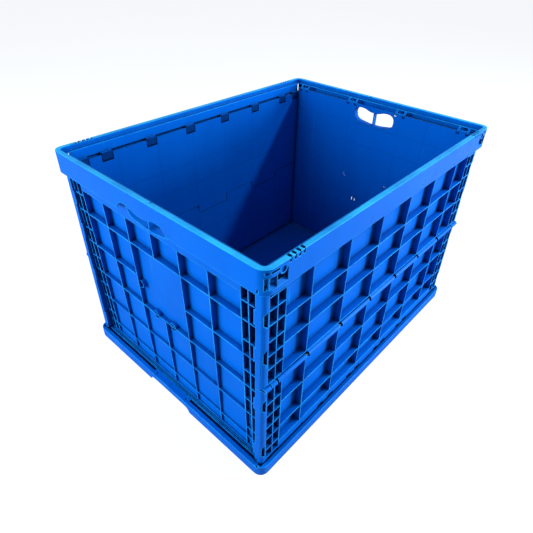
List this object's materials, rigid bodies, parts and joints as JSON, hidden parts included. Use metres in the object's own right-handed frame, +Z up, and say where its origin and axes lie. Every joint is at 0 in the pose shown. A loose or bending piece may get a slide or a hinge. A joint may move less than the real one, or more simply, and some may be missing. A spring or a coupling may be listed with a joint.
{
  "type": "collapsible storage crate",
  "caption": "Open-topped plastic storage crate with ribbed walls, hinged end panels, long walls hinged in the middle, a stacking rim and hand holes in both ends.",
  "frame": {"origin": "centre of the rectangle the crate stands on", "axes": "+X along the long side, +Y across to the rear long wall, +Z up"},
  "size_m": [0.8, 0.6, 0.54],
  "materials": {
    "tray_plastic": "moulded semi-gloss blue",
    "frame_plastic": "moulded semi-gloss blue",
    "wall_plastic": "moulded semi-gloss blue",
    "end_plastic": "moulded semi-gloss blue",
    "rod_steel": "drawn zinc-plated wire"
  },
  "bodies": {
    "crate_body": {"base_tray": "tray_plastic", "top_frame": "frame_plastic", "front_lower_panel": "wall_plastic", "rear_lower_panel": "wall_plastic", "front_upper_panel": "wall_plastic", "rear_upper_panel": "wall_plastic", "front_base_rod_a": "rod_steel", "front_base_rod_b": "rod_steel", "rear_base_rod_a": "rod_steel", "rear_base_rod_b": "rod_steel", "front_middle_rod_a": "rod_steel", "front_middle_rod_b": "rod_steel", "rear_middle_rod_a": "rod_steel", "rear_middle_rod_b": "rod_steel", "front_top_rod_a": "rod_steel", "front_top_rod_b": "rod_steel", "rear_top_rod_a": "rod_steel", "rear_top_rod_b": "rod_steel", "left_end_rod_a": "rod_steel", "left_end_rod_b": "rod_steel", "right_end_rod_a": "rod_steel", "right_end_rod_b": "rod_steel"},
    "left_end": {"left_end_panel": "end_plastic"},
    "right_end": {"right_end_panel": "end_plastic"}
  },
  "joints": [
    {"name": "left_end_swing", "type": "hinge", "parent": "crate_body", "child": "left_end", "pos_m": [-0.374, 0, 0.5185], "axis": [0, -1, 0], "range_deg": [0, 90]},
    {"name": "right_end_swing", "type": "hinge", "parent": "crate_body", "child": "right_end", "pos_m": [0.374, 0, 0.5185], "axis": [0, 1, 0], "range_deg": [0, 88.2]}
  ]
}
